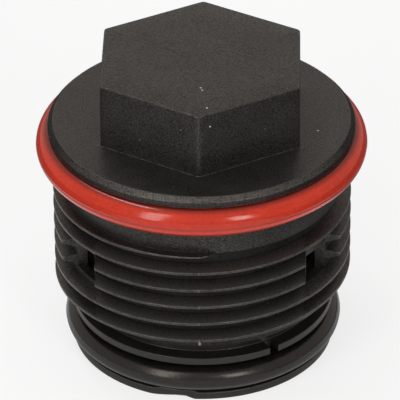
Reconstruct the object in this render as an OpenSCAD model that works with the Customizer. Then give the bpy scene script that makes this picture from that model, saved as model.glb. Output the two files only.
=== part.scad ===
// Screw-in cap for a coolant expansion tank, with a hexagonal spanner head, a coarse outside
// thread and a pressure and vacuum valve inside. It stands on its bottom rim: the origin is the
// middle of that rim, +Z is the cap's axis, and the head is at the top. -Y is the front.

/* [Head] */
// Width across the flats of the spanner head
head_af = 36; // [32:0.5:40]
// Height of the head above the flange
head_h = 12.5; // [9:0.1:16]
// Wall of the cored head at its flats
head_wall = 3.4; // [2.4:0.1:3.8]
// Thickness of the head's top
head_top = 4.4; // [3:0.1:6]
// How far each corner of the head is rounded back along the radius
head_corner = 0.15; // [0.05:0.05:0.6]

/* [Flange and collar] */
// How far the flange stands out past the collar
flange_lip = 2.25; // [1.5:0.05:5]
// Thickness of the flange above the upper seal
flange_t = 2; // [1.4:0.1:3]
// Bevel round the flange's top edge
flange_bevel = 0.85; // [0.2:0.05:1.2]
// Thickness of the deck that joins the head to the skirt
deck_t = 4.1; // [3:0.1:6]
// How far the plain collar under the upper seal stands out past the thread's root
collar_step = 0.85; // [0.5:0.05:1.5]
// Height of the plain collar
collar_h = 5.3; // [4:0.05:8]

/* [Seals] */
// Thickness of the upper seal, a round rubber ring
upper_seal_t = 5.7; // [4.5:0.1:6.5]
// Depth of the upper seal's groove behind the collar
upper_groove_depth = 1.25; // [0.8:0.05:2]
// Wall between the upper seal's groove and the bore
upper_seal_wall = 3.1; // [2.4:0.1:4]
// Thickness of the lower seal, a round rubber ring
lower_seal_t = 4.8; // [3.8:0.1:5.2]
// Depth of the lower seal's groove behind the bottom rim
lower_groove_depth = 3.45; // [3.2:0.05:3.9]
// Free height of the lower seal's groove above the seal
lower_seal_slack = 0.9; // [0.4:0.1:2]

/* [Thread] */
// Outside diameter of the thread
thread_d = 55.2; // [54:0.1:58]
// Pitch of the single-start right-hand thread
thread_pitch = 3.64; // [3.2:0.02:4.2]
// Depth of the thread
thread_depth = 2.5; // [1.8:0.1:3]
// Width of the thread's crest
thread_crest = 0.7; // [0.4:0.05:1.1]
// Angle of each flank of the thread
thread_flank = 15; // [5:1:20]
// Length of the skirt below the collar
skirt_l = 20.6; // [18:0.1:24]
// Wall of the skirt under the thread
skirt_wall = 1.7; // [1.4:0.1:2.2]
// Height of the thread's centre over the collar's foot, at the front
thread_lead_in = 0.25; // [0.1:0.05:0.6]
// Height over the collar's foot where the thread's upper end is cut level
thread_cut = 0.3; // [0.2:0.05:0.6]
// Number of turns of the thread
thread_turns = 5.44; // [4.5:0.02:5.5]

/* [Vent pockets] */
// Angle of each pocket's inner corner from the front or the back
pocket_at = 62.9; // [58:0.1:66]
// How far each pocket's inner corner reaches into the bore
slit_depth = 0.37; // [0.2:0.01:0.8]
// How much further in the thread stops beside a pocket
pocket_relief = 1.3; // [0.5:0.1:2.5]
// Height of the pockets' ledge above the foot of the skirt
pocket_rise = 8; // [7:0.05:9]
// Height of the pockets
pocket_h = 5.8; // [4.5:0.1:7]
// Height over which the thread stops beside a pocket
pocket_break_h = 7.5; // [6:0.1:8.5]

/* [Valve housing] */
// How far the bottom rim stands out past the neck
rim_step = 1.1; // [0.9:0.05:1.5]
// Height of the bottom rim
rim_h = 1.8; // [1.2:0.1:3]
// Bevel round the bottom rim's lower edge
rim_bevel = 0.1; // [0.05:0.05:0.5]
// How far the ring above the lower seal stands out past the neck
backing_step = 1; // [0.6:0.05:1.6]
// Height of the ring above the lower seal
backing_h = 1.45; // [1:0.05:2]
// Height of the bare neck between that ring and the skirt
neck_h = 3.4; // [2.5:0.05:5]
// Gap round the housing inside the skirt
neck_gap = 0.1; // [0.05:0.05:0.2]
// Width of the notch through the ring above the lower seal
notch_w = 1.7; // [1:0.1:3]
// Angle of that notch from the front, towards +X
notch_at = 34; // [20:1:45]
// Wall of the inlet behind the lower seal
inlet_wall = 2.3; // [1.8:0.1:3]
// Wall of the cup that holds the valve
cup_wall = 2.4; // [1.8:0.1:3]
// Depth of the cup above the valve seat's floor
cup_h = 9.8; // [8.5:0.1:10.2]
// Thickness of the floor that carries the valve seat
seat_floor_t = 2.2; // [1.6:0.1:3]
// How far the valve seat's lip lies inside the relief plate's edge
seat_inset = 2.2; // [1.8:0.1:2.6]
// Height of the valve seat's lip
seat_lip_h = 0.8; // [0.5:0.1:1.5]
// Width of the valve seat's lip
seat_lip_w = 1.2; // [0.8:0.1:1.6]
// Width of the floor inside the valve seat's lip
seat_shelf = 1.5; // [1:0.1:2.2]
// Number of ribs that guide the relief plate
guide_n = 6; // [3:1:8]
// Thickness of each guide rib
guide_t = 1.6; // [1:0.1:2.4]
// Height of the bead that snaps into the skirt
bead_h = 1.4; // [0.8:0.1:2]
// How far that bead stands out
bead_out = 0.5; // [0.2:0.05:0.7]

/* [Relief valve] */
// Outside diameter of the relief plate
relief_d = 28.4; // [27.8:0.1:29]
// Thickness of the relief plate
relief_t = 1.8; // [1.2:0.1:2.5]
// Thickness of the relief plate's rubber seal
relief_seal_t = 1.6; // [1:0.1:2]
// Radial width of the relief plate's rubber seal
relief_seal_w = 2.7; // [2.3:0.1:3.2]
// Height of the spring's seat boss on the relief plate
relief_boss_h = 2; // [1:0.1:3]
// Travel of the relief plate off its seat
relief_travel = 3; // [1:0.1:4]
// How far the relief spring lies inside the relief plate's edge
spring_inset = 1.3; // [1:0.1:1.8]
// Wire of the relief spring
relief_wire = 2.2; // [1.6:0.1:2.4]
// Number of turns of the relief spring
relief_turns = 8; // [6:1:10]

/* [Vacuum valve] */
// Gap between the vacuum valve's disc and the hole in the seat's floor
vacuum_gap = 1.7; // [1.2:0.1:2.2]
// Thickness of the vacuum valve's disc
vacuum_t = 1.6; // [1:0.1:2]
// Thickness of the vacuum valve's rubber washer
vacuum_seal_t = 1.2; // [0.8:0.1:1.5]
// Diameter of the vacuum valve's stem
stem_d = 3.6; // [3:0.1:4]
// Running gap round the stem
stem_gap = 0.05; // [0.02:0.01:0.1]
// Travel of the vacuum valve off its seat
vacuum_travel = 1.5; // [0.5:0.1:2]
// Mean diameter of the vacuum spring
vacuum_spring_d = 7.2; // [6.6:0.1:7.4]
// Wire of the vacuum spring
vacuum_wire = 0.9; // [0.6:0.05:1]
// Number of turns of the vacuum spring
vacuum_turns = 4; // [3:1:5]
// Number of air holes through the relief plate
air_hole_n = 6; // [3:1:8]
// Diameter of each air hole
air_hole_d = 2.2; // [1.4:0.1:2.4]
// Thickness of the retaining clip
clip_t = 0.8; // [0.5:0.1:1.2]
// Outside diameter of the retaining clip
clip_d = 8.8; // [8:0.1:9.2]

/* [Hidden] */
$fn = 96;

// Small gap between pieces of one body that lie against each other, and the overlap that
// fuses two forms of one piece.
rest_gap = 0.05;
bury = 0.4;
past = 1;
guide_gap = 0.3;

// Heights, from the bottom rim up.
groove_z = rim_h;
backing_z = groove_z + lower_seal_t + rest_gap + lower_seal_slack;
neck_z = backing_z + backing_h;
skirt_z = neck_z + neck_h;
collar_z = skirt_z + skirt_l;
upper_groove_z = collar_z + collar_h;
upper_groove_h = upper_seal_t + 2 * rest_gap;
flange_z = upper_groove_z + upper_groove_h;
deck_z = flange_z + flange_t;
head_z = deck_z + head_h;
chamber_z = deck_z - deck_t;
ceiling_z = head_z - head_top;

// Radii of the cap's body.
thread_r = thread_d / 2;
root_r = thread_r - thread_depth;
core_r = root_r - 0.15;
bore_r = root_r - skirt_wall;
collar_r = root_r + collar_step;
flange_r = collar_r + flange_lip;
upper_root_r = collar_r - upper_groove_depth;
upper_seal_id = 2 * (upper_root_r + rest_gap);
chamber_r = upper_root_r - upper_seal_wall;
core_af = head_af - 2 * head_wall;
step_z = upper_groove_z - upper_seal_wall;

// Radii and heights of the valve housing.
neck_r = bore_r - neck_gap;
rim_r = neck_r + rim_step;
backing_r = neck_r + backing_step;
groove_r = rim_r - lower_groove_depth;
lower_seal_id = 2 * (groove_r + rest_gap);
inlet_r = groove_r - inlet_wall;
cup_r = neck_r - cup_wall;
relief_r = relief_d / 2;
seat_r = relief_r - seat_inset;
seat_hole_r = seat_r - seat_shelf;
seat_floor_z = neck_z + 0.6;
cup_top_z = seat_floor_z + cup_h;
seat_z = seat_floor_z + seat_lip_h;
bead_z = cup_top_z - 1.4 - bead_h;
guide_r = relief_r + guide_gap;
guide_top_z = seat_z + relief_seal_t + relief_t + relief_travel;
ramp_h = 0.9;
ramp_in = -9.2;
ramp_peak = -3.1;
ramp_out = -1;

// The valve, stacked up from its seat.
plate_z = seat_z + relief_seal_t;
boss_z = plate_z + relief_t;
boss_top_z = boss_z + relief_boss_h;
relief_spring_d = 2 * (relief_r - spring_inset) - relief_wire;
pilot_r = (relief_spring_d - relief_wire) / 2 - guide_gap;
seal_out_r = relief_r - 0.6;
seal_in_r = seal_out_r - relief_seal_w;
vacuum_r = seat_hole_r - vacuum_gap;
disc_z = plate_z - vacuum_seal_t - vacuum_t;
hub_r = 3.1;
seal_edge = 0.4;
clip_z = boss_top_z + vacuum_turns * vacuum_wire * 1.04 + vacuum_travel + 0.95;
stem_top_z = clip_z + clip_t + 1.6;
stem_neck_r = stem_d / 2 - 0.5;

// Places of the pockets, as signs of X and Y, and the corner where their two flats meet.
pocket_x = (bore_r - slit_depth) * sin(pocket_at);
pocket_y = (bore_r - slit_depth) * cos(pocket_at);
corners = [[1, 1], [-1, 1], [-1, -1], [1, -1]];
pocket_z = skirt_z + pocket_rise;

// The thread: its centre line falls one pitch a turn from the front, where it runs out under
// the collar, to the back, where it runs out above the foot of the skirt.
steps = 40;
runout = 12;
thread_end = 12;
thread_start = thread_end - thread_turns * 360;
thread_top_z = collar_z + thread_lead_in;
crest_r = thread_r - rest_gap;
sleeve_r = root_r - 0.9;
sleeve_low_z = skirt_z + rest_gap;
sleeve_top_z = collar_z + thread_cut;
first_turn = -ceil((thread_top_z - sleeve_low_z) / thread_pitch) - 1;
last_turn = 2;

// Centre height of the ridge at angle a from the front, towards +X.
function ridge_z(a) = thread_top_z + thread_pitch * a / 360;
// Share of the full depth at angle a: 1 along the thread, falling to 0 where it runs out.
function ridge_share(a) =
    max(0, min(1, (thread_end - a) / runout, (a - thread_start) / runout));
// A point at angle a from the front, radius r and height z.
function at(a, r, z) = [r * sin(a), -r * cos(a), z];
// One column of the threaded sleeve: the ridge's four corners, then a point inside the wall.
function column(a) =
    let (rc = root_r + (crest_r - root_r) * ridge_share(a),
         c = thread_crest / 2,
         w = c + rest_gap + (rc - root_r) * tan(thread_flank),
         z = ridge_z(a))
    [at(a, root_r, z - w), at(a, rc, z - c), at(a, rc, z + c), at(a, root_r, z + w),
     at(a, sleeve_r, z - w)];

// A face with four corners, as two triangles.
function quad(a, b, c, d) = [[a, b, c], [a, c, d]];

// Faces of a tube of closed sections with n points each, with flat ends.
function tube_faces(rings, n) = concat(
    [[for (j = [0:n - 1]) j]],
    [for (i = [0:rings - 2]) for (j = [0:n - 1])
        let (k = (j + 1) % n)
        each quad(i * n + j, (i + 1) * n + j, (i + 1) * n + k, i * n + k)],
    [[for (j = [n - 1:-1:0]) (rings - 1) * n + j]]);

// The threaded wall: one strip that winds round with the ridge on it, each turn joined to the
// turn above by the root between them. It is longer than needed and cut level at both ends.
module thread_sleeve() {
    n = (last_turn - first_turn) * steps;
    columns = [for (i = [0:n]) column(thread_end + (first_turn + i / steps) * 360)];
    function p(i, k) = i * 5 + k;
    faces = concat(
        [for (i = [0:n - 1]) for (k = [0:2])
            each quad(p(i, k), p(i, k + 1), p(i + 1, k + 1), p(i + 1, k))],
        [for (i = [0:n - 1 - steps])
            each quad(p(i, 3), p(i + steps, 0), p(i + 1 + steps, 0), p(i + 1, 3))],
        [for (i = [0:n - 1 - steps])
            each quad(p(i, 4), p(i + 1, 4), p(i + 1 + steps, 4), p(i + steps, 4))],
        [for (i = [0:steps - 1])
            each quad(p(i, 4), p(i, 0), p(i + 1, 0), p(i + 1, 4))],
        [for (i = [n - steps:n - 1])
            each quad(p(i, 3), p(i, 4), p(i + 1, 4), p(i + 1, 3))],
        [[p(0, 4), p(steps, 4), p(steps, 0), p(0, 3), p(0, 2), p(0, 1), p(0, 0)],
         [p(n - steps, 3), p(n, 0), p(n, 1), p(n, 2), p(n, 3), p(n, 4), p(n - steps, 4)]]);
    intersection() {
        polyhedron(points = [for (c = columns) each c], faces = faces, convexity = 12);
        translate([0, 0, sleeve_low_z])
            cylinder(r = thread_r + 2 * past, h = sleeve_top_z - sleeve_low_z);
    }
}

// A box that reaches outward from the pocket's corner, for one of the four corners.
module corner_box(sx, sy, x, y, z, h)
    translate([sx > 0 ? x : -x - thread_d, sy > 0 ? y : -y - thread_d, z])
        cube([thread_d, thread_d, h]);

// Hexagonal prism with a corner at the front and its corners cut back to a round of radius r.
module hex_prism(af, r, z, h)
    translate([0, 0, z])
        intersection() {
            rotate(90)
                cylinder(d = af / cos(30), h = h, $fn = 6);
            cylinder(r = r, h = h);
        }

// Outer form of the body below the head, as one turned profile.
module body_outside()
    rotate_extrude()
        polygon([
            [0, skirt_z], [core_r, skirt_z], [core_r, collar_z], [collar_r, collar_z],
            [collar_r, upper_groove_z], [upper_root_r, upper_groove_z],
            [upper_root_r, flange_z], [flange_r, flange_z],
            [flange_r, deck_z - flange_bevel], [flange_r - flange_bevel, deck_z],
            [0, deck_z]]);

// The hollow of the body: skirt bore with its snap groove, valve chamber and their step.
module body_hollow()
    rotate_extrude()
        polygon([
            [0, skirt_z - past], [bore_r, skirt_z - past],
            [bore_r, bead_z - rest_gap], [bore_r + bead_out - neck_gap + rest_gap, bead_z + bead_h / 3],
            [bore_r + bead_out - neck_gap + rest_gap, bead_z + bead_h * 2 / 3],
            [bore_r, bead_z + bead_h + rest_gap],
            [bore_r, step_z], [chamber_r, step_z + bore_r - chamber_r],
            [chamber_r, chamber_z], [0, chamber_z]]);

module cap_body() color("#2c2b2a")
    difference() {
        union() {
            body_outside();
            hex_prism(head_af, head_af / 2 / cos(30) - head_corner, deck_z - past, head_h + past);
            difference() {
                thread_sleeve();
                for (c = corners)
                    corner_box(c[0], c[1], pocket_x - pocket_relief, pocket_y, pocket_z,
                               pocket_break_h);
            }
        }
        body_hollow();
        difference() {
            hex_prism(core_af, core_af, chamber_z - past, ceiling_z - chamber_z + past);
            translate([0, 0, ceiling_z - relief_boss_h])
                cylinder(r = pilot_r, h = relief_boss_h + past);
        }
        for (c = corners)
            corner_box(c[0], c[1], pocket_x, pocket_y, pocket_z, pocket_h);
    }

// A round rubber ring with inside diameter id and thickness t, its underside at height z.
module round_ring(id, t, z)
    translate([0, 0, z + t / 2])
        rotate_extrude()
            translate([(id + t) / 2, 0])
                circle(d = t, $fn = 48);

module flange_seal() color("#c8402a")
    round_ring(upper_seal_id, upper_seal_t, upper_groove_z + rest_gap);

module housing_seal() color("#1c1c1c")
    round_ring(lower_seal_id, lower_seal_t, groove_z + rest_gap);

// Turned form of the valve housing: rim, seal groove, backing ring, neck, cup and seat lip.
module housing_turned()
    rotate_extrude()
        polygon([
            [inlet_r, 0], [rim_r - rim_bevel, 0], [rim_r, rim_bevel],
            [rim_r, rim_h], [groove_r, groove_z], [groove_r, backing_z],
            [backing_r, backing_z], [backing_r, neck_z], [neck_r, neck_z],
            [neck_r, bead_z], [neck_r + bead_out, bead_z + bead_h / 3],
            [neck_r + bead_out, bead_z + bead_h * 2 / 3], [neck_r, bead_z + bead_h],
            [neck_r, cup_top_z], [cup_r, cup_top_z], [cup_r, seat_floor_z],
            [seat_r + seat_lip_w / 2, seat_floor_z], [seat_r + seat_lip_w / 4, seat_z],
            [seat_r - seat_lip_w / 4, seat_z], [seat_r - seat_lip_w / 2, seat_floor_z],
            [seat_hole_r, seat_floor_z], [seat_hole_r, seat_floor_z - seat_floor_t],
            [inlet_r, seat_floor_z - seat_floor_t]]);

// One of the two lifted places of the rim: a shallow ramp cut from below.
module rim_ramp()
    translate([0, -groove_r, 0])
        rotate([90, 0, 0])
            linear_extrude(height = rim_r)
                polygon([[ramp_in, -past], [ramp_in, 0], [ramp_peak, ramp_h], [ramp_out, 0],
                         [ramp_out, -past]]);

module valve_housing() color("#33312f")
    difference() {
        union() {
            housing_turned();
            for (i = [0:guide_n - 1])
                rotate(360 * (i + 0.5) / guide_n)
                    translate([guide_r, -guide_t / 2, seat_floor_z - bury])
                        cube([cup_r + bury - guide_r, guide_t, guide_top_z - seat_floor_z + bury]);
        }
        for (a = [0, 180])
            rotate(a)
                rim_ramp();
        rotate(notch_at)
            translate([-notch_w / 2, -2 * backing_r, backing_z - rest_gap])
                cube([notch_w, 2 * backing_r - neck_r + bury, backing_h + 2 * rest_gap]);
    }

module relief_plate() color("#b8963e")
    difference() {
        union() {
            translate([0, 0, plate_z])
                cylinder(r = relief_r, h = relief_t);
            translate([0, 0, boss_z - bury])
                cylinder(r = pilot_r, h = relief_boss_h + bury);
            translate([0, 0, plate_z - relief_seal_t * 0.6])
                difference() {
                    cylinder(r = relief_r, h = relief_seal_t * 0.6 + bury);
                    translate([0, 0, -past])
                        cylinder(r = seal_out_r + rest_gap, h = relief_seal_t + past);
                }
        }
        translate([0, 0, plate_z - past])
            cylinder(d = stem_d + 2 * stem_gap, h = relief_t + relief_boss_h + 2 * past);
        for (i = [0:air_hole_n - 1])
            rotate(360 * i / air_hole_n)
                translate([(hub_r + vacuum_r - seal_edge) / 2, 0, plate_z - past])
                    cylinder(d = air_hole_d, h = relief_t + relief_boss_h + 2 * past);
    }

module relief_seal() color("#202020")
    translate([0, 0, seat_z])
        difference() {
            cylinder(r = seal_out_r, h = relief_seal_t);
            translate([0, 0, -past])
                cylinder(r = seal_in_r, h = relief_seal_t + 2 * past);
        }

// Height of a spring's centre line after t turns of n, between z0 and z1: the first and last
// turns lie nearly closed, and the rest are evenly spaced.
function coil_z(t, n, wire, z0, z1) =
    let (lay = wire * 1.04, low = z0 + wire / 2, high = z1 - wire / 2)
    t < 1 ? low + lay * t
          : t > n - 1 ? high - lay * (n - t)
                      : low + lay + (high - low - 2 * lay) * (t - 1) / (n - 2);

// A compression spring of round wire with mean diameter d.
module coil(d, wire, n, z0, z1, per_turn, sides) {
    count = n * per_turn;
    polyhedron(
        points = [for (i = [0:count]) let (a = 360 * i / per_turn,
                                           z = coil_z(i / per_turn, n, wire, z0, z1))
            for (j = [0:sides - 1]) let (b = 360 * (j + 0.5) / sides)
                [(d / 2 + wire / 2 * cos(b)) * cos(a),
                 (d / 2 + wire / 2 * cos(b)) * sin(a),
                 z + wire / 2 * sin(b)]],
        faces = tube_faces(count + 1, sides), convexity = 12);
}

module relief_spring() color("#a9adb0")
    coil(relief_spring_d, relief_wire, relief_turns, boss_z, ceiling_z, 16, 8);

module vacuum_spring() color("#b4b8ba")
    coil(vacuum_spring_d, vacuum_wire, vacuum_turns, boss_top_z, clip_z, 14, 6);

module vacuum_valve() color("#c2a350")
    rotate_extrude()
        polygon([
            [0, disc_z], [vacuum_r, disc_z], [vacuum_r, disc_z + vacuum_t],
            [hub_r, disc_z + vacuum_t], [hub_r, plate_z - 2 * rest_gap],
            [stem_d / 2, plate_z - 2 * rest_gap], [stem_d / 2, clip_z - rest_gap],
            [stem_neck_r, clip_z - rest_gap], [stem_neck_r, clip_z + clip_t + rest_gap],
            [stem_d / 2, clip_z + clip_t + rest_gap], [stem_d / 2, stem_top_z - 0.4],
            [stem_d / 2 - 0.4, stem_top_z], [0, stem_top_z]]);

module vacuum_seal() color("#242424")
    translate([0, 0, plate_z - vacuum_seal_t])
        difference() {
            cylinder(r = vacuum_r - seal_edge, h = vacuum_seal_t);
            translate([0, 0, -past])
                cylinder(r = hub_r + rest_gap, h = vacuum_seal_t + 2 * past);
        }

module vacuum_clip() color("#8f9396")
    translate([0, 0, clip_z])
        difference() {
            cylinder(d = clip_d, h = clip_t);
            translate([0, 0, -past])
                cylinder(r = stem_neck_r + rest_gap, h = clip_t + 2 * past);
            translate([-stem_neck_r, -clip_d, -past])
                cube([2 * stem_neck_r, clip_d, clip_t + 2 * past]);
        }

cap_body();
flange_seal();
valve_housing();
housing_seal();
relief_plate();
relief_seal();
relief_spring();
vacuum_valve();
vacuum_seal();
vacuum_spring();
vacuum_clip();
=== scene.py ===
# %% [markdown]
# # A screw-in coolant cap
# The real cap is a dark plastic moulding with a spanner head, a coarse thread, a red rubber ring
# under its flange and a black one near its foot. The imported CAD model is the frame: it says where
# each piece is. Here the four outer pieces, and the valve's springs and seals, get a finer
# surface, worked out with numpy from a few sizes. Every piece gets a material built from nodes.
# Sizes of shapes are in millimetres, and one factor turns them into Blender's metres. Sizes in
# materials, lamps and the camera are in metres.

# %% Load the frame
import bmesh
import bpy
import math
import numpy as np
from mathutils import Matrix, Vector


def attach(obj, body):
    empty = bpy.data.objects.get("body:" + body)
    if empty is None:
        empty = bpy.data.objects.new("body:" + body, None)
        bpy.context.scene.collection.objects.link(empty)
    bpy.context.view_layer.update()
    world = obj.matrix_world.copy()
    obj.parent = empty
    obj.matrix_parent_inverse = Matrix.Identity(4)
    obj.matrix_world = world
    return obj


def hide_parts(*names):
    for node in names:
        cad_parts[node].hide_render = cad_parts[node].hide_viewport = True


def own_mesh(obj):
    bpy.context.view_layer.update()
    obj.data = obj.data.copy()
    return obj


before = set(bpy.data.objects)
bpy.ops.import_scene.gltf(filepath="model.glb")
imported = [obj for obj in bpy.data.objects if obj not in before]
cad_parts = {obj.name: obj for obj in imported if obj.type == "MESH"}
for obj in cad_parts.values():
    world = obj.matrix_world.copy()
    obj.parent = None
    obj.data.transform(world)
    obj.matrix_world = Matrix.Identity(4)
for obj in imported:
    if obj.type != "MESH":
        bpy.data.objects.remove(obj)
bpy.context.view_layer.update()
MM = 0.001
TURN = 2 * np.pi
SMOOTH_ANGLE = 32.0

# %% [markdown]
# ## One helper for every surface
# Each surface is a grid of points: rows along its profile, columns round its axis. Neighbouring
# points make quads. Wrapping the columns closes the ring, wrapping the rows closes a tube, and a
# pole closes an end with a fan of triangles. Faces are built as whole arrays, so even a fine
# thread takes a moment only.

# %% From a grid of points to a mesh
def grid_piece(name, points, wrap_rows=False, wrap_columns=True, poles=(), angle=SMOOTH_ANGLE):
    """Quads join point (i, j) to (i+1, j), (i+1, j+1) and (i, j+1); a pole is the row's mean."""
    rows, columns = points.shape[:2]
    index = np.arange(rows * columns).reshape(rows, columns)
    if wrap_columns:
        index = np.hstack([index, index[:, :1]])
    if wrap_rows:
        index = np.vstack([index, index[:1]])
    quads = np.stack([index[:-1, :-1], index[1:, :-1], index[1:, 1:], index[:-1, 1:]], -1)
    faces = quads.reshape(-1, 4).tolist()
    verts = points.reshape(-1, 3)
    for pole in poles:
        edge = index[pole]
        tip = np.full(len(edge) - 1, len(verts))
        verts = np.vstack([verts, points[pole].mean(axis=0)])
        fan = [tip, edge[:-1], edge[1:]] if pole == 0 else [tip, edge[1:], edge[:-1]]
        faces += np.stack(fan, -1).tolist()
    mesh = bpy.data.meshes.new(name)
    mesh.from_pydata((verts * MM).tolist(), [], faces)
    mesh.validate()
    mesh.shade_smooth()
    mesh.set_sharp_from_angle(angle=math.radians(angle))
    piece = bpy.data.objects.new(name, mesh)
    bpy.context.scene.collection.objects.link(piece)
    print(name, len(mesh.vertices), "vertices,", len(mesh.polygons), "faces")
    return piece


def around(azimuth, radius, height):
    """Point at azimuth a from the front, towards +X: (r sin a, -r cos a, z)."""
    azimuth, radius, height = np.broadcast_arrays(azimuth, radius, height)
    return np.stack([radius * np.sin(azimuth), -radius * np.cos(azimuth), height], -1)


def eased(value, low, high):
    """Smooth step: 0 below low, 1 above high, 3t^2 - 2t^3 between them."""
    t = np.clip((value - low) / (high - low), 0, 1)
    return t * t * (3 - 2 * t)


# %% [markdown]
# ## Rounded profiles
# A moulding has no knife edges. The helper takes the corners of a profile, each with a radius,
# and puts a short arc in place of the corner, tangent to both its sides.

# %% Corners to arcs
def rounded(corners, steps=4):
    """For a corner with radius r and half angle h, the arc starts r / tan(h) before the corner."""
    path = []
    for i, (x, z, radius) in enumerate(corners):
        here = np.array([x, z], float)
        if radius == 0 or i in (0, len(corners) - 1):
            path.append(here)
            continue
        before = np.array(corners[i - 1][:2], float) - here
        after = np.array(corners[i + 1][:2], float) - here
        before, after = before / np.linalg.norm(before), after / np.linalg.norm(after)
        half = math.acos(np.clip(before @ after, -1, 1)) / 2
        reach = radius / math.tan(half)
        centre = here + (before + after) / np.linalg.norm(before + after) * radius / math.sin(half)
        start, end = here + before * reach - centre, here + after * reach - centre
        sweep = math.acos(np.clip(start @ end / radius ** 2, -1, 1))
        for t in np.linspace(0, 1, steps + 1):
            a, b = math.sin((1 - t) * sweep), math.sin(t * sweep)
            path.append(centre + (a * start + b * end) / math.sin(sweep))
    return np.array(path)


# %% [markdown]
# ## The cap's body without its thread
# Head, flange, collar and skirt are one moulding, so they are one surface. Seen from above, a
# column of the grid runs out from the middle of the head to the hexagon, down its side, out over
# the flange, down past the seal's groove to the foot, and back up inside. The hexagon is a
# radius that depends on the azimuth, so each row blends between that and a circle.

# %% Sizes of the body
HEAD_AF, HEAD_TOP, DECK = 36.0, 58.6, 46.1
FLANGE_R, FLANGE_Z = 28.2, 44.1
COLLAR_R, COLLAR_Z, GROOVE_Z, GROOVE_R = 25.95, 33.0, 38.3, 24.7
ROOT_R, BORE_R, SKIRT_Z = 25.1, 23.4, 12.4
HEAD_WALL, CHAMBER_R, CHAMBER_Z, CEILING_Z = 3.4, 21.6, 42.0, 54.2
SPRING_SEAT_R, SPRING_SEAT_Z, SNAP_DEPTH = 10.4, 52.2, 0.45
BODY_COLUMNS = 540


def hexagon(azimuth, across_flats, sharpness=110):
    """Radius of a hexagon with a corner at azimuth 0: the p-norm of its three pairs of flats."""
    flats = np.radians([30, 90, 150])
    share = np.abs(np.cos(azimuth[:, None] - flats)) / (across_flats / 2)
    peak = share.max(axis=1, keepdims=True)
    return 1 / (peak[:, 0] * ((share / peak) ** sharpness).sum(axis=1) ** (1 / sharpness))


# %% Rows of the body, from the top's middle round to the ceiling inside
columns = np.arange(BODY_COLUMNS) * TURN / BODY_COLUMNS
hex_out = hexagon(columns, HEAD_AF)
hex_in = hexagon(columns, HEAD_AF - 2 * HEAD_WALL)

# Offsets from the hexagon, with heights: the head's top edge, then its foot on the deck.
head_side = rounded([(-6, HEAD_TOP, 0), (0, HEAD_TOP, 0.32), (0.12, DECK, 0.12), (4, DECK, 0)], 5)
body_rows = [share * hex_out for share in (0.02, 0.2, 0.4, 0.55)]
body_heights = [HEAD_TOP] * 4
for offset, height in head_side[:-1]:
    body_rows.append(hex_out + offset)
    body_heights.append(height)
for share in (0.35, 0.7):
    body_rows.append((1 - share) * (hex_out + 0.6) + share * (FLANGE_R - 1.0))
    body_heights.append(DECK)
outline = rounded([
    (FLANGE_R - 1.4, DECK, 0), (FLANGE_R - 0.85, DECK, 0.35), (FLANGE_R, DECK - 0.85, 0.4),
    (FLANGE_R, FLANGE_Z, 0.12), (GROOVE_R, FLANGE_Z, 0.3), (GROOVE_R, GROOVE_Z, 0.3),
    (COLLAR_R, GROOVE_Z, 0.25), (COLLAR_R, 35.4, 0), (COLLAR_R, COLLAR_Z, 0.12),
    (ROOT_R, COLLAR_Z, 0.15), (ROOT_R, 27.9, 0), (ROOT_R, 24, 0), (ROOT_R, 20.3, 0),
    (ROOT_R, 17, 0), (ROOT_R, 14, 0), (ROOT_R, SKIRT_Z, 0.2), (BORE_R, SKIRT_Z, 0.25),
    (BORE_R, 16.55, 0), (BORE_R + SNAP_DEPTH, 17.07, 0), (BORE_R + SNAP_DEPTH, 17.53, 0),
    (BORE_R, 18.05, 0), (BORE_R, 20.2, 0), (BORE_R, 26.4, 0), (BORE_R, 35.2, 0.3),
    (CHAMBER_R, 37.0, 0.3), (CHAMBER_R, CHAMBER_Z, 0)])
for radius, height in outline:
    body_rows.append(np.full_like(columns, radius))
    body_heights.append(height)
for extra, height in ((0.3, CHAMBER_Z), (0.0, CHAMBER_Z + 0.3), (0.0, 48.0),
                      (-0.2, CEILING_Z - 0.3), (-0.5, CEILING_Z)):
    body_rows.append(hex_in + extra)
    body_heights.append(height)
for radius, height in ((SPRING_SEAT_R, CEILING_Z), (SPRING_SEAT_R, SPRING_SEAT_Z + 0.1),
                       (SPRING_SEAT_R - 0.2, SPRING_SEAT_Z), (5.0, SPRING_SEAT_Z),
                       (0.5, SPRING_SEAT_Z)):
    body_rows.append(np.full_like(columns, radius))
    body_heights.append(height)
body_points = around(columns[None, :], np.array(body_rows), np.array(body_heights)[:, None])
body = grid_piece("cap_shell", body_points, poles=(0, len(body_rows) - 1))

# %% [markdown]
# ## The thread
# The thread is one ridge that winds down the skirt, so it is a section carried along a helix. It
# is made as a closed rod whose back lies inside the wall, then fused to the body. Near both ends
# the section's depth fades, which is how a mould lets a thread run out. At the top the ridge is
# cut level just above the collar's foot, so it ends as a thin wedge. It stops beside the four vent
# pockets, so blocks are taken from it there first, and lower blocks then cut the vent slots.

# %% A ridge along a helix
PITCH, THREAD_TOP_Z, THREAD_CUT_Z, CUT_STEP = 3.64, 33.25, 33.3, 0.004
THREAD_END, THREAD_TURNS, RUNOUT = math.radians(12), 5.44, math.radians(12)
RUNOUT_SINK, RUNOUT_NARROWING, PER_TURN = 0.04, 0.25, 300


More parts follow.
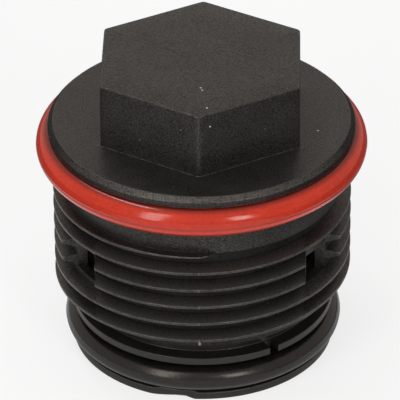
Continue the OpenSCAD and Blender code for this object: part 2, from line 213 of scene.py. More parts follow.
def ridge_points():
    """Centre height z0 + pitch * a / 2 pi; each section is a trapezium with rounded corners,
    its points a hair apart where they are cut level, so that no two meet."""
    section = rounded([(-0.9, 0, 0), (-0.9, 1.34, 0), (0.0, 1.05, 0), (1.2, 0.67, 0),
                       (2.47, 0.26, 0.10), (2.47, -0.20, 0.10), (0.0, -1.05, 0),
                       (-0.9, -1.36, 0)], 3)
    turns = np.linspace(-THREAD_TURNS, 0, int(THREAD_TURNS * PER_TURN) + 1)
    azimuth = (THREAD_END + turns * TURN)[:, None]
    start = THREAD_END - THREAD_TURNS * TURN
    share = eased(azimuth, start, start + 2 * RUNOUT) * (
        1 - eased(azimuth, THREAD_END - RUNOUT, THREAD_END))
    depth, rise = section[:, 0][None, :], section[:, 1][None, :]
    radius = ROOT_R + np.where(depth > 0, depth * share - RUNOUT_SINK * (1 - share), depth)
    narrow = 1 - RUNOUT_NARROWING * (1 - share)
    height = THREAD_TOP_Z + PITCH * azimuth / TURN + rise * narrow
    ceiling = THREAD_CUT_Z - CUT_STEP * np.arange(len(section))[None, :]
    return around(azimuth, radius, np.minimum(height, ceiling))


# %% Blocks at the four vent pockets
POCKET_X, VENT_X, POCKET_Y = 19.2, 19.3, 10.49
POCKET_LOW, POCKET_HIGH, VENT_HIGH, BLOCK_END = 20.4, 27.9, 26.2, 40


def helper_box(name, low, high):
    """A block's eight corners as a 2 x 4 grid: one ring at the top and one at the foot."""
    (x0, y0, z0), (x1, y1, z1) = low, high
    ring = np.array([[x0, y0], [x1, y0], [x1, y1], [x0, y1]], float)
    heights = np.array([z1, z0])
    points = np.dstack([np.broadcast_to(ring[:, 0], (2, 4)), np.broadcast_to(ring[:, 1], (2, 4)),
                        np.broadcast_to(heights[:, None], (2, 4))])
    return grid_piece(name, points, poles=(0, 1))


def corner_blocks(x, y, low, high):
    """Four blocks, one for each pair of signs of X and Y, from (x, y) outward."""
    blocks = []
    for sx, sy in ((1, 1), (-1, 1), (-1, -1), (1, -1)):
        (x0, x1), (y0, y1) = sorted((sx * x, sx * BLOCK_END)), sorted((sy * y, sy * BLOCK_END))
        blocks.append(helper_box(f"block_{len(blocks)}", (x0, y0, low), (x1, y1, high)))
    return blocks


# %% Fusing, cutting and closing
def close_slits(mesh):
    """Joins points under a micrometre apart and closes the small gaps a boolean can leave."""
    micrometre = 1e-6
    work = bmesh.new()
    work.from_mesh(mesh)
    bmesh.ops.remove_doubles(work, verts=work.verts, dist=micrometre)
    bmesh.ops.dissolve_degenerate(work, edges=work.edges, dist=micrometre)
    bmesh.ops.holes_fill(work, edges=work.edges, sides=0)
    print("open edges left:", sum(edge.is_boundary for edge in work.edges))
    work.to_mesh(mesh)
    work.free()


def carve(piece, tools, operation):
    """Fuses or cuts with Blender's exact boolean, keeps the result and removes the tools."""
    for tool in tools:
        step = piece.modifiers.new(tool.name, "BOOLEAN")
        step.operation, step.solver, step.object = operation, "EXACT", tool
    done = bpy.data.meshes.new_from_object(
        piece.evaluated_get(bpy.context.evaluated_depsgraph_get()))
    piece.modifiers.clear()
    piece.data = done
    for tool in tools:
        bpy.data.objects.remove(tool)
    print(piece.name, operation.lower(), len(done.polygons), "faces")


# %% The ridge joins the body
# The section is taken the other way round, so that the ridge's faces point outwards.
ridge = grid_piece("ridge", ridge_points()[:, ::-1], poles=(0, -1))
carve(ridge, corner_blocks(POCKET_X, POCKET_Y, POCKET_LOW, POCKET_HIGH), "DIFFERENCE")
carve(body, [ridge], "UNION")
carve(body, corner_blocks(VENT_X, POCKET_Y, POCKET_LOW, VENT_HIGH), "DIFFERENCE")
close_slits(body.data)
body.data.shade_smooth()
body.data.set_sharp_from_angle(angle=math.radians(SMOOTH_ANGLE))
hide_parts("cap_body")
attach(body, "cap")

# %% [markdown]
# ## Rubber rings
# Both seals are round rubber rings pressed in a two-part mould, and such a ring keeps a thin
# line round its widest place where the halves met. The ring is a torus with that line as a small
# bump in its section and a shallow groove on both sides of it. It is very slightly uneven round
# its length, as soft rubber never lies quite true in its groove.

# %% A moulded ring
LONG_WAVE, SHORT_WAVE, ROUND_ANGLE = 0.02, 0.012, 60


def ring_piece(name, major, minor, centre_z, line_out, line_wide, sides=96, around_n=480):
    """Torus: distance from the axis R + r cos b, height z + r sin b, where r is full only on
    the line, near b = 0, and the line's height less elsewhere."""
    angle = np.arange(around_n)[None, :] * TURN / around_n
    turn = -(np.arange(sides)[:, None] * TURN / sides)
    off = (turn + np.pi) % TURN - np.pi
    raised = line_out * np.exp(-(off * minor / line_wide) ** 2)
    groove = 0.6 * line_out * np.exp(-((np.abs(off) * minor - 2.4 * line_wide) / line_wide) ** 2)
    section = minor - line_out + raised - groove
    wave = LONG_WAVE * np.sin(3 * angle + 0.7) + SHORT_WAVE * np.sin(7 * angle + 2.0)
    points = around(angle, major + section * np.cos(turn), centre_z + wave + section * np.sin(turn))
    return grid_piece(name, points, wrap_rows=True, angle=ROUND_ANGLE)


upper_ring = ring_piece("red_ring", 27.6, 2.85, 41.2, 0.03, 0.09)
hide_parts("flange_seal")
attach(upper_ring, "cap")
lower_ring = ring_piece("black_ring", 23.4, 2.4, 4.25, 0.03, 0.08)
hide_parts("housing_seal")
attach(lower_ring, "cap")

# %% [markdown]
# ## The lower housing
# The housing is a turned form too, but its foot isn't quite round: in two places a shallow ramp
# lifts the foot's edge, with a raised lip on the rim above it, and the ring above the seal has a
# narrow notch. All are written as changes of height and radius that depend on the azimuth, so
# one grid still does it all.

# %% Sizes of the housing, and its columns with extra ones at the notch
NECK_R, RIM_R, RING_R, SNAP_R, SEAL_FLOOR_R = 21.8, 24.4, 24.3, 23.3, 20.95
RIM_Z, RING_FOOT, RING_TOP, NECK_Z = 1.45, 7.55, 9.0, 12.3
NOTCH_DEGREES, NOTCH_HALF, NOTCH_REACH, LIP_RISE, RAMP_RISE = 34, 0.85, 24, 0.45, 0.9
HOUSE_COLUMNS, COLUMN_SHIFT = 480, 1e-5
notch_columns = NOTCH_DEGREES + np.array([-2.3, -2.14, -2.0, -1.86, 1.86, 2.0, 2.14, 2.3])
house_columns = np.sort(np.concatenate([
    np.arange(HOUSE_COLUMNS) * TURN / HOUSE_COLUMNS, np.radians(notch_columns) + COLUMN_SHIFT]))

# %% The housing's profile, read backwards so that its faces point outwards
house_profile = rounded([
    (18.65, 7.4, 0), (18.65, 0, 0.3), (RIM_R - 0.03, 0, 0.08), (RIM_R, 0.7, 0),
    (RIM_R, RIM_Z, 0.12), (SEAL_FLOOR_R, 1.8, 0.3), (SEAL_FLOOR_R, RING_FOOT, 0.3),
    (RING_R, RING_FOOT, 0.15), (RING_R, RING_TOP, 0.15), (NECK_R, RING_TOP, 0.2),
    (NECK_R, NECK_Z - 0.3, 0.3), (SNAP_R, NECK_Z, 0.1), (SNAP_R, 16.6, 0),
    (SNAP_R + 0.5, 17.07, 0.1), (SNAP_R + 0.5, 17.53, 0.1), (SNAP_R, 18.0, 0),
    (SNAP_R, 19.4, 0.2), (20.9, 19.4, 0.2), (20.9, 9.6, 0.3), (12.6, 9.6, 0.2),
    (12.3, 10.4, 0.12), (11.7, 10.4, 0.12), (11.4, 9.6, 0.2), (10.5, 9.6, 0.15),
    (10.5, 7.4, 0.15), (18.65, 7.4, 0)], 4)[:0:-1]


def ramp_lift(azimuth, radius):
    """Height of the ramp under the rim: rises from x = -9.2 to -3.1 and falls to -1, twice."""
    side = np.where(np.cos(azimuth) > 0, 1.0, -1.0)
    x = radius * np.sin(azimuth) * side
    return np.interp(x, [-9.2, -3.1, -1.0], [0.0, RAMP_RISE, 0.0], left=0.0, right=0.0)


# %% Ramps, raised lips and the notch
house_r = np.repeat(house_profile[:, :1], len(house_columns), axis=1)
house_z = np.repeat(house_profile[:, 1:], len(house_columns), axis=1)

# The ramp lifts the rows of the foot's edge and outer side, less and less further up.
lift = ramp_lift(house_columns[None, :], house_r)
outer_rim = (house_r > 20.9) & (house_z <= 0.76)
house_z = np.where(outer_rim, np.maximum(house_z, lift * (1 - house_z / 3)), house_z)

# The lip lifts the rows of the rim's top over the ramp's span.
rim_top = (house_r > 23.6) & (house_z > 1.2) & (house_z < 1.9)
across = house_r * np.sin(house_columns) * np.sign(np.cos(house_columns))
lip_span = eased(across, -8.6, -7.4) * (1 - eased(across, -1.4, -0.4))
house_z = np.where(rim_top, house_z + LIP_RISE * lip_span, house_z)

# The notch takes the rows of the ring above the seal back to the neck.
notch_off = np.abs(house_columns - math.radians(NOTCH_DEGREES)) * NOTCH_REACH
notch = (notch_off < NOTCH_HALF)[None, :]
ring_rows = (house_r > 23.35) & (house_z > 7.5) & (house_z < 9.01)
house_r = np.where(ring_rows & notch, NECK_R + 0.1, house_r)

housing = grid_piece("lower_housing", around(house_columns[None, :], house_r, house_z),
                     wrap_rows=True)
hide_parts("valve_housing")
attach(housing, "cap")

# %% [markdown]
# ## The valve inside
# The springs are closed tubes along a helix. Their end turns lie close, about one wire apart, and
# the turns between share the rest of the height. A spring rides on the piece that holds its fixed
# end. The two flat seals are turned here as well. The plate, the small valve and the clip keep the
# CAD model's shapes.

# %% Two springs
END_TURN_RISE, WIRE_SIDES, STEPS_PER_TURN = 1.04, 20, 72


def spring_piece(name, mean_r, wire, turns, low, high):
    """Centre height c(t) is linear in three parts; the tube's ring stands across the helix."""
    t = np.linspace(0, turns, turns * STEPS_PER_TURN + 1)[:, None]
    lay, bottom, top = wire * END_TURN_RISE, low + wire / 2, high - wire / 2
    centre = np.interp(t, [0, 1, turns - 1, turns], [bottom, bottom + lay, top - lay, top])
    ring = (np.arange(WIRE_SIDES) + 0.5)[None, :] * TURN / WIRE_SIDES
    angle = np.pi / 2 + t * TURN
    radius = mean_r + wire / 2 * np.cos(ring)
    return grid_piece(name, around(angle, radius, centre + wire / 2 * np.sin(ring)),
                      poles=(0, -1), angle=ROUND_ANGLE)


relief_coil = spring_piece("relief_coil", mean_r=11.8, wire=2.16, turns=8, low=13.82, high=54.18)
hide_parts("relief_spring")
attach(relief_coil, "cap")
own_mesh(relief_coil)
vacuum_coil = spring_piece("vacuum_coil", mean_r=3.6, wire=0.88, turns=4, low=15.81, high=21.99)
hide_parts("vacuum_spring")
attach(vacuum_coil, "relief")
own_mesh(vacuum_coil)

# %% The valve's two flat seals
SEAL_COLUMNS = 96


def turned_piece(name, profile):
    """A closed profile carried round the axis: every row is a circle."""
    path = rounded(profile + profile[:1], 3)[:-1]
    azimuth = np.arange(SEAL_COLUMNS)[None, :] * TURN / SEAL_COLUMNS
    return grid_piece(name, around(azimuth, path[:, :1], path[:, 1:]), wrap_rows=True)


plate_seal = turned_piece("plate_seal", [
    (12.2, 11.98, 0), (13.58, 11.98, 0.12), (13.58, 10.42, 0.12), (10.92, 10.42, 0.12),
    (10.92, 11.98, 0.12)])
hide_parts("relief_seal")
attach(plate_seal, "relief")
stem_seal = turned_piece("stem_seal", [
    (6.0, 11.98, 0), (8.38, 11.98, 0.1), (8.38, 10.82, 0.1), (3.17, 10.82, 0.1),
    (3.17, 11.98, 0.1)])
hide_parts("vacuum_seal")
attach(stem_seal, "vacuum")

# %% [markdown]
# ## Materials
# All patterns read Object coordinates, in metres, so that they keep their real size. The dark
# plastic has a fine spark-eroded grain: two noises of different size make it slightly lighter
# and darker, the fine one drives a shallow bump and the coarse one the roughness. Rubber is
# smoother, with a little dust that catches light. The Bevel node rounds the shading of an edge.
# On the two plastic mouldings it is used only where edges rub and above the thread, because it
# would soften the thread's narrow flanks.

# %% Helpers for nodes
def new_material(name, view_color):
    """A material with only a Principled shader and its output; the colour is for the viewport."""
    material = bpy.data.materials.new(name)
    material.use_nodes = True
    material.diffuse_color = (*view_color, 1)
    return material, material.node_tree, material.node_tree.nodes["Principled BSDF"]


def feed(tree, slot, value):
    """A number or a colour becomes the slot's own value, and a socket is linked to the slot."""
    if isinstance(value, tuple):
        slot.default_value = (*value, 1)
    elif isinstance(value, (int, float)):
        slot.default_value = value
    else:
        tree.links.new(value, slot)


def math_node(tree, operation, *values, clamp=False):
    """A Math node; each value is a number or a socket."""
    node = tree.nodes.new("ShaderNodeMath")
    node.operation, node.use_clamp = operation, clamp
    for slot, value in zip(node.inputs, values):
        feed(tree, slot, value)
    return node.outputs[0]


def product(tree, first, *others):
    """All the values multiplied together."""
    for other in others:
        first = math_node(tree, "MULTIPLY", first, other)
    return first


def largest(tree, first, *others):
    """The largest of the values."""
    for other in others:
        first = math_node(tree, "MAXIMUM", first, other)
    return first


def above(tree, value, limit):
    """1 where the value is above the limit, 0 elsewhere."""
    return math_node(tree, "GREATER_THAN", value, limit)


def below(tree, value, limit):
    """1 where the value is below the limit, 0 elsewhere."""
    return math_node(tree, "LESS_THAN", value, limit)


def slope(tree, value, rise, start):
    """The straight line rise * value + start, kept between 0 and 1."""
    return math_node(tree, "MULTIPLY_ADD", value, rise, start, clamp=True)


def band(tree, value, middle, half, soft):
    """1 where |value - middle| is below half, falling to 0 over the soft width."""
    off = math_node(tree, "ABSOLUTE", math_node(tree, "SUBTRACT", value, middle))
    return math_node(tree, "DIVIDE", math_node(tree, "SUBTRACT", half + soft, off), soft,
                     clamp=True)


def map_range(tree, value, start, end, low, high, smooth=True):
    """Goes from low to high as the value goes from start to end, and stays level outside."""
    node = tree.nodes.new("ShaderNodeMapRange")
    node.interpolation_type = "SMOOTHSTEP" if smooth else "LINEAR"
    for key, number in (("From Min", start), ("From Max", end), ("To Min", low), ("To Max", high)):
        feed(tree, node.inputs[key], number)
    tree.links.new(value, node.inputs["Value"])
    return node.outputs["Result"]


def mixed(tree, share, first, second):
    """Colour mix: share 0 gives the first socket or colour, share 1 the second."""
    node = tree.nodes.new("ShaderNodeMix")
    node.data_type = "RGBA"
    tree.links.new(share, node.inputs["Factor"])
    feed(tree, node.inputs[6], first)
    feed(tree, node.inputs[7], second)
    return node.outputs[2]


def ramp(tree, value, stops):
    """Colour ramp from (position, colour) stops."""
    node = tree.nodes.new("ShaderNodeValToRGB")
    while len(node.color_ramp.elements) < len(stops):
        node.color_ramp.elements.new(0.5)
    for element, (position, color) in zip(node.color_ramp.elements, stops):
        element.position = position
        element.color = (*color, 1)
    tree.links.new(value, node.inputs["Fac"])
    return node.outputs["Color"]


def noise(tree, place, scale, detail, rough):
    """Noise texture at a place; the scale is in cells per metre."""
    node = tree.nodes.new("ShaderNodeTexNoise")
    node.inputs["Scale"].default_value = scale
    node.inputs["Detail"].default_value = detail
    node.inputs["Roughness"].default_value = rough
    tree.links.new(place, node.inputs["Vector"])
    return node.outputs["Fac"]


# %% Helpers for places and normals
def object_place(tree):
    """The point itself, in metres from the middle of the cap's foot."""
    return tree.nodes.new("ShaderNodeTexCoord").outputs["Object"]


def coordinates(tree, place):
    """A place's x, y and z as three sockets."""
    node = tree.nodes.new("ShaderNodeSeparateXYZ")
    tree.links.new(place, node.inputs[0])
    return tuple(node.outputs)


def reach_squared(tree, x, y):
    """Squared distance from the cap's axis, x^2 + y^2."""
    return math_node(tree, "ADD", product(tree, x, x), product(tree, y, y))


def distance_to(tree, place, point):
    """Distance in metres between a place and a fixed point."""
    node = tree.nodes.new("ShaderNodeVectorMath")
    node.operation = "DISTANCE"
    node.inputs[1].default_value = point
    tree.links.new(place, node.inputs[0])
    return node.outputs["Value"]


def bump(tree, height, distance, strength, normal=None):
    """Bump node: the height times the distance, in metres, tilts the shading normal."""
    node = tree.nodes.new("ShaderNodeBump")
    node.inputs["Distance"].default_value = distance
    node.inputs["Strength"].default_value = strength
    tree.links.new(height, node.inputs["Height"])
    if normal is not None:
        tree.links.new(normal, node.inputs["Normal"])
    return node.outputs["Normal"]


def turned_bevel(tree, radius):
    """The surface's normal as if its edges were rounded to the radius."""
    node = tree.nodes.new("ShaderNodeBevel")
    node.samples = 6
    node.inputs["Radius"].default_value = radius
    return node.outputs["Normal"]


def chosen_normal(tree, share, rounded_normal):
    """The plain normal where the share is 0, the rounded one where it is 1."""
    node = tree.nodes.new("ShaderNodeMix")
    node.data_type = "VECTOR"
    tree.links.new(share, node.inputs["Factor"])
    tree.links.new(tree.nodes.new("ShaderNodeNewGeometry").outputs["Normal"], node.inputs[4])
    tree.links.new(rounded_normal, node.inputs[5])
    return node.outputs[1]


# %% [markdown]
# ## Where the plastic is worn, and painted highlights
# A used cap is rubbed pale on the edges that hands, spanners and the tank's neck touch. That pale
# colour on the edges is also a painted highlight, where rounded edges catch light, and the front
# of the flange's bevel gets a painted highlight of its own. Those places are told apart by height
# and by distance from the axis, and an edge within them by how far its rounded normal turns away
# from the flat one.

# %% Rubbed edges and painted highlights
FOOT_TOP, THREAD_TOP, FLANGE_LOW, BEVEL_LOW, HEAD_LOW = 0.0022, 0.0325, 0.0400, 0.04518, 0.0475
CREST_REACH, FLANGE_REACH, BEVEL_REACH = 0.0271, 0.0255, 0.02735
EDGE_ROUNDING, EDGE_START, EDGE_RISE = 0.0003, 0.992, 14.0


def edge_share(tree):
    """Near an edge the rounded normal n differs from the flat one m: 1 - n.m grows from 0."""
    dot = tree.nodes.new("ShaderNodeVectorMath")
    dot.operation = "DOT_PRODUCT"
    tree.links.new(turned_bevel(tree, EDGE_ROUNDING), dot.inputs[0])
    flat = tree.nodes.new("ShaderNodeNewGeometry").outputs["True Normal"]
    tree.links.new(flat, dot.inputs[1])
    turned_away = math_node(tree, "SUBTRACT", EDGE_START, dot.outputs["Value"])
    return math_node(tree, "MULTIPLY", turned_away, EDGE_RISE, clamp=True)


def exposed(tree, place):
    """Three shares: 1 on the exposed places, whose edges are rubbed and get a painted highlight
    (thread crests, flange, head and foot), 1 towards the front of the flange's bevel, where a
    highlight is painted, and 1 on all that lies above the thread."""
    x, y, z = coordinates(tree, place)
    reach = reach_squared(tree, x, y)
    crests = above(tree, reach, CREST_REACH ** 2)
    flange = product(tree, above(tree, z, FLANGE_LOW), above(tree, reach, FLANGE_REACH ** 2))
    exposed_places = largest(tree, crests, flange, above(tree, z, HEAD_LOW), below(tree, z, FOOT_TOP))
    bevel = product(tree, above(tree, z, BEVEL_LOW), above(tree, reach, BEVEL_REACH ** 2))
    forward = slope(tree, y, -40.0, -0.38)
    return exposed_places, product(tree, bevel, forward), above(tree, z, THREAD_TOP)


# %% [markdown]
# ## Moulded plastic and rubber
# One function makes all four mouldings. What differs is passed in: colours, roughness, the size
# and depth of the grain, dust, wear with its painted edge highlights, and a function for marks
# and painted light that belong to one piece only.

# %% The moulded finish
WARM, WHITE = (1.0, 0.93, 0.86), (1.0, 1.0, 1.0)
COARSE_SCALE, PATCH_SCALE = 160, 420
DUST_SCALE, DUST_SIZE = 260, 0.028


def moulded(name, dark, light, rough, grain, grain_depth, shine, tint=WARM, spread=0.05,
            speck=None, edge=0.00012, wear_and_highlight=None, marks_and_painted_light=None):
    """Colour from two noises, roughness from the coarse one, bump from the fine one. The shine
    is a number, or a function of the place and the fine noise."""
    material, tree, shader = new_material(name, light)
    place = object_place(tree)
    fine = noise(tree, place, grain, 4.0, 0.7)
    coarse = noise(tree, place, COARSE_SCALE, 3.0, 0.6)
    blend = math_node(tree, "ADD", product(tree, coarse, 0.3), product(tree, fine, 0.7))
    color = ramp(tree, blend, [(0.40, dark), (0.60, light)])
    normal = turned_bevel(tree, edge)
    if wear_and_highlight is not None:
        patches = slope(tree, noise(tree, place, PATCH_SCALE, 4.0, 0.7), 3.0, -0.75)
        exposed_places, bevel_front, above_thread = exposed(tree, place)
        # Pale edges: wear, and also a painted highlight where rounded edges catch light.
        worn_and_highlit_edges = product(tree, edge_share(tree), patches, exposed_places)
        # Painted highlight on the front of the flange's bevel, broken up by the fine noise.
        bevel_highlight = product(tree, bevel_front, slope(tree, fine, 1.3, -0.40))
        color = mixed(tree, largest(tree, worn_and_highlit_edges, bevel_highlight), color, wear_and_highlight)
        normal = chosen_normal(tree, largest(tree, exposed_places, above_thread), normal)
    if speck is not None:
        dots = tree.nodes.new("ShaderNodeTexVoronoi")
        dots.inputs["Scale"].default_value = DUST_SCALE
        tree.links.new(place, dots.inputs["Vector"])
        color = mixed(tree, below(tree, dots.outputs["Distance"], DUST_SIZE), color, speck)
    height = product(tree, fine, grain_depth)
    if marks_and_painted_light is not None:
        color, height = marks_and_painted_light(tree, place, color, height)
    roughness = math_node(tree, "MULTIPLY_ADD", coarse, 2 * spread, rough - spread)
    tree.links.new(color, shader.inputs["Base Color"])
    tree.links.new(roughness, shader.inputs["Roughness"])
    tree.links.new(bump(tree, height, 1.0, 1.0, normal), shader.inputs["Normal"])
    feed(tree, shader.inputs["Specular Tint"], tint)
    level = shine(tree, place, fine) if callable(shine) else shine
    feed(tree, shader.inputs["Specular IOR Level"], level)
    return material


# %% [markdown]
# ## Marks and painted light on the body
# A mould in two halves leaves a thin raised line down the skirt's front, and a small nib at its
# foot. The thread's flanks are painted lighter, more so further out, as painted light where light
# reaches them, and a few pale flecks sit on the head, on the flange and on the thread. The grain
# glints less at the thread's roots and along the flange's edge at the sides and back.

# %% Parting line, painted light on the flanks, and flecks
FRONT_Y = -0.02
ROOT_REACH, LINE_REACH, FLANK_REACH = 0.0254, 0.0273, 0.0274
ZONE_HALF, ZONE_SOFT = 0.0188, 0.0004
LINE_RAISED = 0.00004
LINE_COLOR, NIB_COLOR = (0.12, 0.112, 0.10), (0.30, 0.285, 0.26)
# FLANK_LIGHT_COLOR is painted light on the thread's flanks.
FLANK_LIGHT_COLOR, FLECK_COLOR = (0.033, 0.0314, 0.0288), (0.50, 0.475, 0.44)
FLECKS = (((0.0002, -0.0106, 0.0586), 0.00018), ((0.0005, -0.0114, 0.0586), 0.00017),
          ((0.0015, -0.01755, 0.0586), 0.00017), ((0.00205, -0.0196, 0.0560), 0.00017),
          ((0.02134, -0.00467, 0.0461), 0.00017), ((-0.02637, -0.00815, 0.02665), 0.00022))


def thread_zone(tree, x, z):
    """1 in the strip between the vent pockets, front and back, below the collar's foot."""
    return product(tree, below(tree, z, THREAD_TOP), band(tree, x, 0.0, ZONE_HALF, ZONE_SOFT))


def body_marks_and_painted_light(tree, place, color, height):
    """The parting line at x near 0 with its nib, painted light on the thread's flanks, and the
    flecks.
    """
    x, y, z = coordinates(tree, place)
    reach = reach_squared(tree, x, y)
    front = below(tree, y, FRONT_Y)
    line = product(tree, front, band(tree, x, 0.0, 0.00003, 0.00012),
                   band(tree, z, 0.023, 0.011, 0.001))
    nib = product(tree, front, band(tree, x, 0.0, 0.00012, 0.0002),
                  band(tree, z, 0.01295, 0.00035, 0.00022))
    color = mixed(tree, product(tree, line, above(tree, reach, LINE_REACH ** 2)), color,
                  LINE_COLOR)
    color = mixed(tree, nib, color, NIB_COLOR)
    # Painted light: the thread's flanks are made lighter, more so further out.
    flank = product(tree, thread_zone(tree, x, z), below(tree, reach, FLANK_REACH ** 2))
    outer = slope(tree, reach, 7500.0, -4.62)
    color = mixed(tree, product(tree, flank, outer), color, FLANK_LIGHT_COLOR)
    for point, radius in FLECKS:
        on_fleck = below(tree, distance_to(tree, place, point), radius)
        color = mixed(tree, on_fleck, color, FLECK_COLOR)
    return color, math_node(tree, "MULTIPLY_ADD", line, LINE_RAISED, height)


# %% How the body's grain glints
FLANGE_FOOT, ROOT_DULLING, FLANGE_DULLING = 0.0440, -0.65, -0.85


def body_shine(tree, place, fine):
    """Specular level: a slope of the fine noise, times 1 less each dulled place's share."""
    x, y, z = coordinates(tree, place)
    reach = reach_squared(tree, x, y)
    root = product(tree, thread_zone(tree, x, z), below(tree, reach, ROOT_REACH ** 2))
    flange_edge = product(tree, above(tree, z, FLANGE_FOOT), above(tree, reach, BEVEL_REACH ** 2))
    back_and_sides = slope(tree, y, 60.0, 1.6)
    kept = math_node(tree, "MULTIPLY_ADD", root, ROOT_DULLING, 1.0)
    kept = math_node(tree, "MULTIPLY_ADD", product(tree, flange_edge, back_and_sides),
                     FLANGE_DULLING, kept)
    return product(tree, slope(tree, fine, 1.7, -0.43), kept)


# %% Painted shade on the red ring
def ring_groove_and_painted_shade(tree, place, color, height):
    """A shallow bump for the thin groove near the ring's widest place with painted shade in it, and
    painted shade close under the flange.
    """
    z = coordinates(tree, place)[2]
    # Painted shade in the groove.
    groove = band(tree, z, 0.04085, 0.00004, 0.00022)
    color = mixed(tree, product(tree, groove, 0.55), color, (0.20, 0.008, 0.004))
    # Painted shade close under the flange.
    under = map_range(tree, z, 0.0433, 0.0440, 0.0, 0.85)
    color = mixed(tree, under, color, (0.07, 0.004, 0.002))
    return color, math_node(tree, "MULTIPLY_ADD", groove, -0.00005, height)


# %% The four moulded materials
plastic = moulded(
    "black_moulding", (0.0055, 0.0053, 0.0048), (0.0190, 0.0182, 0.0166), rough=0.29, grain=3300,
    grain_depth=0.00006, shine=body_shine, speck=(0.20, 0.19, 0.18), wear_and_highlight=(0.17, 0.162, 0.15),
    marks_and_painted_light=body_marks_and_painted_light)
lower_plastic = moulded(
    "lower_moulding", (0.0065, 0.0062, 0.0057), (0.0160, 0.0153, 0.0140), rough=0.32, grain=2400,
    grain_depth=0.00002, shine=0.45, wear_and_highlight=(0.10, 0.095, 0.088))
red_rubber = moulded(
    "red_rubber", (0.44, 0.021, 0.0065), (0.53, 0.031, 0.0095), rough=0.15, grain=1500,
    grain_depth=0.000004, shine=0.4, tint=WHITE, spread=0.03, speck=(0.8, 0.25, 0.2),
    edge=0.00005, marks_and_painted_light=ring_groove_and_painted_shade)
black_rubber = moulded(
    "black_rubber", (0.0045, 0.0044, 0.0040), (0.0095, 0.0091, 0.0085), rough=0.22, grain=1500,
    grain_depth=0.00003, shine=0.42, speck=(0.2, 0.19, 0.18), edge=0.00005)

# %% [markdown]
# ## Metal
# The valve's plate, stem, clip and springs lie inside, where only a strip of the plate and a
# little of the large spring show through a vent slot. Their metals are plain ones, with a noise
# that makes them slightly uneven.

# %% Brass and steel
def metal(name, color, rough, scale):
    """Metal whose colour runs from 0.75 of the given one to all of it with a noise."""
    material, tree, shader = new_material(name, color)
    fine = noise(tree, object_place(tree), scale, 3.0, 0.6)
    dim = tuple(0.75 * c for c in color)
    tree.links.new(ramp(tree, fine, [(0.35, dim), (0.65, color)]), shader.inputs["Base Color"])
    tree.links.new(bump(tree, fine, 0.00001, 0.6), shader.inputs["Normal"])
    shader.inputs["Metallic"].default_value = 1.0
    shader.inputs["Roughness"].default_value = rough
    return material


brass = metal("turned_brass", (0.62, 0.42, 0.16), 0.35, 900)
steel = metal("spring_wire", (0.52, 0.53, 0.54), 0.3, 1200)

# %% Each piece gets its finish
finishes = ((body, plastic, "body_plastic"), (upper_ring, red_rubber, "red_rubber"),
            (lower_ring, black_rubber, "black_rubber"), (relief_coil, steel, "spring_steel"),
            (vacuum_coil, steel, "spring_steel"), (plate_seal, black_rubber, "black_rubber"),
            (stem_seal, black_rubber, "black_rubber"), (housing, lower_plastic, "housing_plastic"))
for piece, material, slot in finishes:
    piece.data.materials.clear()
    piece.data.materials.append(material)
    print(piece.name, "is made of", material.name)
for node, material in (("relief_plate", brass), ("vacuum_valve", brass), ("vacuum_clip", steel)):
    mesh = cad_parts[node].data
    mesh.materials.clear()
    mesh.materials.append(material)

# %% [markdown]
# ## Floor, light and camera
# The cap stands on a plain pale floor that the camera sees evenly lit. Mirror rays from the
# glossy plastic find it darker in places, as the shade round the cap and the room beyond the
# picture would be. A large soft lamp above gives the broad light on the level faces, and weaker
# ones from the front corners draw the highlights on the rings. The camera's place was fitted to
# the photograph: 33 degrees above the floor, 780 mm away.

# %% How bright the floor is to each kind of ray
def seen_share(tree, camera_share, mirror_share):
    """One share for camera rays, one for mirror and glass rays, and 0 for bounced light."""
    path = tree.nodes.new("ShaderNodeLightPath")
    total = 0.0
    for ray, share in (("Is Camera Ray", camera_share), ("Is Glossy Ray", mirror_share),
                       ("Is Transmission Ray", mirror_share)):
        total = math_node(tree, "MULTIPLY_ADD", path.outputs[ray], share, total, clamp=True)
    return total


def mirror_level(tree, place):
    """The floor's brightness in mirror rays: a product of levels that depend on the place."""
    x, y = coordinates(tree, place)[:2]
    distance = distance_to(tree, place, (0.0, 0.0, 0.0))
    # Close to the cap it is darker, less so in front, and it turns light past the cap's shade.
    beside = map_range(tree, y, -0.026, -0.010, 0.75, 0.38, smooth=False)
    away = map_range(tree, distance, 0.024, 0.040, beside, 0.95)
    # Further off it dims, but not straight ahead.
    far = map_range(tree, distance, 0.080, 0.104, 1.0, 0.42)
    ahead = map_range(tree, y, -0.090, -0.060, 1.0, 0.0)
    # One dark patch lies at the front right, and both sides dim towards the back.
    shaded = map_range(tree, distance_to(tree, place, (0.058, -0.047, 0.0)), 0.010, 0.026,
                       0.15, 1.0)
    outward = largest(tree, x, math_node(tree, "SUBTRACT", -0.03, x))
    sideways = map_range(tree, math_node(tree, "MULTIPLY_ADD", y, 0.6, outward), 0.042, 0.062,
                         1.0, 0.28)
    return product(tree, away, largest(tree, far, ahead), shaded, sideways)


# %% Floor
FLOOR_HALF = 3000.0
floor_points = FLOOR_HALF * np.array([[[-1.0, 1.0, 0.0], [1.0, 1.0, 0.0]],
                                      [[-1.0, -1.0, 0.0], [1.0, -1.0, 0.0]]])
floor = grid_piece("floor", floor_points, wrap_columns=False)
paper, tree, shader = new_material("pale_floor", (0.9, 0.9, 0.9))
shader.inputs["Base Color"].default_value = (0.86, 0.86, 0.86, 1)
shader.inputs["Roughness"].default_value = 0.9
shader.inputs["Specular IOR Level"].default_value = 0.1
glow = tree.nodes.new("ShaderNodeEmission")
camera_ray = tree.nodes.new("ShaderNodeLightPath").outputs["Is Camera Ray"]
tree.links.new(largest(tree, camera_ray, mirror_level(tree, object_place(tree))),
               glow.inputs["Strength"])
both = tree.nodes.new("ShaderNodeMixShader")
tree.links.new(seen_share(tree, 0.75, 1.0), both.inputs["Fac"])
tree.links.new(shader.outputs["BSDF"], both.inputs[1])
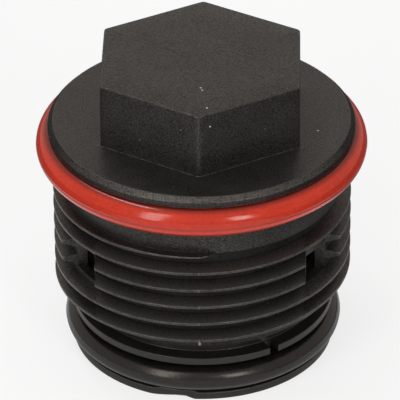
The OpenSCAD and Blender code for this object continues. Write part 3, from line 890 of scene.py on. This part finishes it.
tree.links.new(glow.outputs["Emission"], both.inputs[2])
tree.links.new(both.outputs["Shader"], tree.nodes["Material Output"].inputs["Surface"])
floor.data.materials.append(paper)

# %% World
SKY_BASE, SKY_SEEN, SKY_MIRRORED = 0.2, 0.8, 0.45
WARM_SKY, WHITE_SKY = (1.0, 0.93, 0.87), (1.0, 1.0, 1.0)
world = bpy.data.worlds.new("studio")
bpy.context.scene.world = world
world.use_nodes = True
tree = world.node_tree
sky = tree.nodes["Background"]
camera_ray = tree.nodes.new("ShaderNodeLightPath").outputs["Is Camera Ray"]
tree.links.new(mixed(tree, camera_ray, WARM_SKY, WHITE_SKY), sky.inputs["Color"])
tree.links.new(math_node(tree, "ADD", seen_share(tree, SKY_SEEN, SKY_MIRRORED), SKY_BASE),
               sky.inputs["Strength"])

# %% Lamps
LAMP_TARGET = Vector((0, 0, 0.03))


def softbox(name, place, along, wide, tall, power, mirrored=True):
    """An area lamp at place, in metres, that faces the cap, its long side along a direction."""
    lamp = bpy.data.lights.new(name, "AREA")
    lamp.shape, lamp.size, lamp.size_y, lamp.energy = "RECTANGLE", wide, tall, power
    holder = bpy.data.objects.new(name, lamp)
    away = (Vector(place) - LAMP_TARGET).normalized()
    tall_way = (Vector(along) - away * away.dot(Vector(along))).normalized()
    turn = Matrix((tall_way.cross(away), tall_way, away)).transposed().to_4x4()
    holder.matrix_world = Matrix.Translation(place) @ turn
    holder.visible_camera = False
    holder.visible_glossy = mirrored
    bpy.context.scene.collection.objects.link(holder)
    print("lamp", name, "radiance", round(power / (math.pi * wide * tall), 2))


softbox("overhead", (0.0, 0.15, 1.0), (0, 1, 0), 0.9, 0.9, 4.2, mirrored=False)
softbox("strip", (-0.335, 0.35, 1.0), (0.15, -0.56, 0), 0.04, 0.58, 1.5)
softbox("front_left", (-0.46, -0.69, 0.589), (0.22, 0.5, 0.8), 0.22, 0.95, 3.6)
softbox("front_right", (0.409, -0.753, 0.545), (0, 0, 1), 0.2, 0.42, 2.1)
softbox("front_fill", (0.10, -0.95, 0.62), (1, 0, 0), 0.4, 0.9, 2.2, mirrored=False)

# %% Camera
CAMERA_HEIGHT_ANGLE, CAMERA_AZIMUTH, CAMERA_DISTANCE = 32.56, 1.56, 0.780
CAMERA_ROLL, CAMERA_TARGET, SENSOR_WIDTH = -0.51, Vector((0, 0, 0.02765)), 36.0
PICTURE_PIXELS, FOCAL_PIXELS, CENTRE_RIGHT, CENTRE_DOWN = 400, 4205.5, 2.14, 1.43
up_angle, side_angle = math.radians(CAMERA_HEIGHT_ANGLE), math.radians(CAMERA_AZIMUTH)
direction = Vector((math.sin(side_angle) * math.cos(up_angle),
                    -math.cos(side_angle) * math.cos(up_angle), math.sin(up_angle)))
lens = bpy.data.cameras.new("camera")
lens.sensor_width = SENSOR_WIDTH
lens.sensor_fit = "HORIZONTAL"
lens.lens = FOCAL_PIXELS / PICTURE_PIXELS * SENSOR_WIDTH
lens.shift_x, lens.shift_y = -CENTRE_RIGHT / PICTURE_PIXELS, CENTRE_DOWN / PICTURE_PIXELS
lens.clip_start, lens.clip_end = 0.05, 20.0
camera = bpy.data.objects.new("camera", lens)
look = (-direction).to_track_quat("-Z", "Y").to_matrix()
camera.matrix_world = Matrix.Translation(CAMERA_TARGET + direction * CAMERA_DISTANCE) @ (
    look @ Matrix.Rotation(math.radians(CAMERA_ROLL), 3, "Z")).to_4x4()
bpy.context.scene.collection.objects.link(camera)
bpy.context.scene.camera = camera
bpy.context.scene.view_settings.view_transform = "Standard"
print("camera", [round(v, 4) for v in camera.location], "lens", round(lens.lens, 1))
